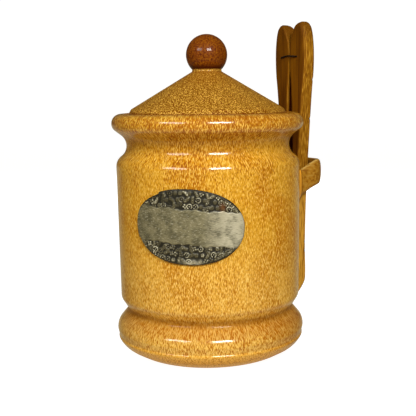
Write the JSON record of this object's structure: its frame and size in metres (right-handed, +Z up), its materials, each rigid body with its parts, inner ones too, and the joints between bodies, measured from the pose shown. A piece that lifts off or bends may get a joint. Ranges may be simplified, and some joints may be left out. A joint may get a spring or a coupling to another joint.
{
  "type": "ceramic pickle jar",
  "caption": "Shut stoneware pickle jar with a waisted neck, cone lid with ball knob, oval pewter badge, and wooden tongs standing in a strap loop on its side.",
  "frame": {"origin": "centre of the foot's flat underside", "axes": "+Z up along the jar's axis, +X through the middle of the tongs' loop; the badge faces -X and -Y"},
  "size_m": [0.1555, 0.1318, 0.2289],
  "materials": {
    "jar_glaze": "glossy honey glaze with fine brown speckle that runs down",
    "lid_glaze": "glossy honey glaze with fine brown speckle, caramel knob",
    "pewter": "cast pewter, oxidised dark in the relief and worn bright in the middle",
    "beech": "oiled beech, straight fine grain",
    "iron_wire": "dark iron wire"
  },
  "bodies": {
    "root": {"jar": "jar_glaze", "lid": "lid_glaze", "badge": "pewter", "tongs_arm_front": "beech", "tongs_arm_back": "beech", "tongs_wire": "iron_wire"}
  },
  "joints": []
}
